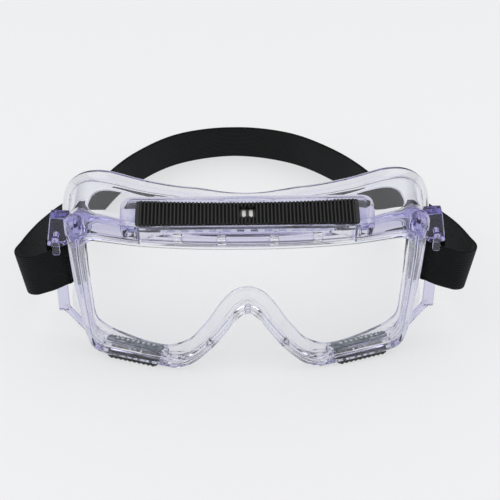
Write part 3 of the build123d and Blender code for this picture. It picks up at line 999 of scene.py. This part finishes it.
def strap():
    """The band, swept along its line, with its own height and lean at each place."""
    half_w = STRAP_WIDTH / 2
    line = strap_line()
    lengths = np.concatenate([[0], np.cumsum(np.linalg.norm(np.diff(line, axis=0), axis=1))])
    total = lengths[-1]
    even = np.linspace(0, total, 620)
    line = np.stack([np.interp(even, lengths, line[:, i]) for i in (0, 1)], 1)
    for _ in range(3):
        line[1:-1] = 0.25 * line[:-2] + 0.5 * line[1:-1] + 0.25 * line[2:]
    along = np.gradient(line, axis=0)
    along /= np.linalg.norm(along, axis=1)[:, None]
    out = np.stack([along[:, 1], -along[:, 0]], 1)
    from_end = np.minimum(even, total - even)
    behind = np.clip((line[:, 1] - 50) / 95, 0, 1)
    behind = behind * behind * (3 - 2 * behind)
    low_edge = np.interp(from_end, [0, 8, 17, 22, 31, 38, 50], [26, 27, 28, 25.4, 21.6, 20.4, 19])
    low_edge = low_edge * (1 - behind) + FLOOR * behind
    lean = np.radians(np.interp(from_end, [0, 24, 40, 70, 150, 260], [0, 0, -9, -6, 8, 18]))
    squeeze = np.interp(from_end, [0, 8, 13, 20, 34], [1, 0.95, 0.92, 0.93, 1])
    line[:, 0] -= REAR_SHIFT * np.clip((line[:, 1] - 60) / 130, 0, 1) ** 1.2
    section = strap_section()
    size = len(section)
    vertices = np.zeros((len(line), size, 3))
    for i, (spot, normal) in enumerate(zip(line, out)):
        cos, sin = math.cos(lean[i]), math.sin(lean[i])
        across = (section[:, 1] + half_w) * squeeze[i]
        offset = section[:, 0] * cos - section[:, 1] * sin
        height = across * cos + section[:, 0] * sin + low_edge[i]
        vertices[i, :, 0] = spot[0] + normal[0] * offset
        vertices[i, :, 1] = spot[1] + normal[1] * offset
        vertices[i, :, 2] = height
    vertices[:, :, 2] = np.maximum(vertices[:, :, 2], FLOOR + 0.1)
    faces = []
    for i in range(len(line) - 1):
        for k in range(size):
            m = (k + 1) % size
            faces.append((i * size + k, i * size + m, (i + 1) * size + m, (i + 1) * size + k))
    last = (len(line) - 1) * size
    faces += [tuple(range(size)), tuple(reversed(range(last, last + size)))]
    obj = new_object("strap_band", vertices.reshape(-1, 3), faces)
    layer = obj.data.uv_layers.new(name="UVMap")
    for loop in obj.data.loops:
        i, k = divmod(loop.vertex_index, size)
        layer.data[loop.index].uv = (even[i] * MM, section[k, 1] * MM)
    outward(obj, weld=False)
    shade(obj, 60)
    dress(obj, WEBBING, "goggles", "strap_elastic", "strap_band")
    return obj


# ---- make the pieces ----
clear_frame()
lens_piece()
length, width = TOP_SHUTTER
dress(shutter("top_shutter_ribbed", TOP_PLACE, length, width, True), BLACK, "top_shutter",
      "black_plastic", "top_vent_shutter")
length, width = LOW_SHUTTER
for side, name in ((-1, "left"), (1, "right")):
    grip = low_place(side) @ Matrix.Translation((0, LOW_GRIP / 2, 0))
    dress(shutter(name + "_shutter_ribbed", grip, length, width + LOW_GRIP, False), BLACK,
          name + "_shutter", "black_plastic", name + "_vent_shutter")
    strap_bracket(side, name + "_strap_bracket")
    strap_keeper(side, name + "_strap_keeper")
    low_baffle(side, name)
indicator()
strap()

CARRIED = {"top_vent_seat": VINYL, "top_vent_baffle": VINYL,
           "left_vent_seat": VINYL, "right_vent_seat": VINYL}
for node, material in CARRIED.items():
    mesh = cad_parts[node].data
    mesh.materials.clear()
    mesh.materials.append(material)


# ---- studio ----
def floor():
    reach = 4.0
    mesh = bpy.data.meshes.new("floor")
    mesh.from_pydata([(-reach, -reach, 0), (reach, -reach, 0), (reach, reach, 0), (-reach, reach, 0)],
                     [], [(0, 1, 2, 3)])
    obj = bpy.data.objects.new("floor", mesh)
    bpy.context.scene.collection.objects.link(obj)
    material, nodes, links, shader = new_material("floor_paper")
    shader.inputs["Base Color"].default_value = (0.285, 0.286, 0.289, 1)
    shader.inputs["Emission Color"].default_value = (0.985, 0.99, 1.0, 1)
    shader.inputs["Emission Strength"].default_value = 0.6
    shader.inputs["Roughness"].default_value = 0.9
    shader.inputs["Specular IOR Level"].default_value = 0.1
    mesh.materials.append(material)


def area_light(name, place, target, size, power):
    data = bpy.data.lights.new(name, "AREA")
    data.shape = "RECTANGLE"
    data.size, data.size_y = size
    data.energy = power
    obj = bpy.data.objects.new(name, data)
    obj.location = place
    obj.rotation_euler = (Vector(target) - Vector(place)).to_track_quat("-Z", "Y").to_euler()
    bpy.context.scene.collection.objects.link(obj)


def surroundings():
    """Bright overhead, darker towards the horizon, so that clear edges read against the white."""
    world = bpy.data.worlds.new("studio")
    bpy.context.scene.world = world
    world.use_nodes = True
    nodes, links = world.node_tree.nodes, world.node_tree.links
    place = nodes.new("ShaderNodeTexCoord")
    split = nodes.new("ShaderNodeSeparateXYZ")
    links.new(place.outputs["Generated"], split.inputs["Vector"])
    colour = ramp(nodes, links, split.outputs["Z"], (0.05, 0.06, 0.085), (1.0, 1.0, 1.0), 0.12, 0.55)
    links.new(colour, nodes["Background"].inputs["Color"])
    nodes["Background"].inputs["Strength"].default_value = 0.84


CAMERA_AIM = (0.8, -2.9, 74.6)       # in drawn millimetres
CAMERA_TURN = math.radians(-1.14)
CAMERA_RISE = math.radians(36.0)
CAMERA_DISTANCE = 0.528              # metres
CAMERA_LENS = 90.0


def camera():
    azimuth, elevation, distance = CAMERA_TURN, CAMERA_RISE, CAMERA_DISTANCE
    aim = Vector(real(CAMERA_AIM))
    back = Vector((math.sin(azimuth) * math.cos(elevation), -math.cos(azimuth) * math.cos(elevation),
                   math.sin(elevation)))
    data = bpy.data.cameras.new("camera")
    data.lens = CAMERA_LENS
    data.clip_start = 0.01
    obj = bpy.data.objects.new("camera", data)
    obj.location = aim + back * distance
    obj.rotation_euler = (-back).to_track_quat("-Z", "Y").to_euler()
    bpy.context.scene.collection.objects.link(obj)
    bpy.context.scene.camera = obj


floor()
surroundings()
area_light("top_softbox", (0.0, -0.1, 1.1), (0, -0.05, 0), (1.2, 0.9), 1.6)
area_light("left_softbox", (-0.9, -0.35, 0.6), (0, 0, 0.04), (0.5, 0.7), 2.0)
area_light("right_softbox", (0.9, -0.25, 0.6), (0, 0, 0.04), (0.5, 0.7), 1.7)
camera()

scene = bpy.context.scene
scene.view_settings.view_transform = "Standard"
scene.cycles.max_bounces = 32
scene.cycles.transmission_bounces = 28
scene.cycles.glossy_bounces = 12
scene.cycles.transparent_max_bounces = 16
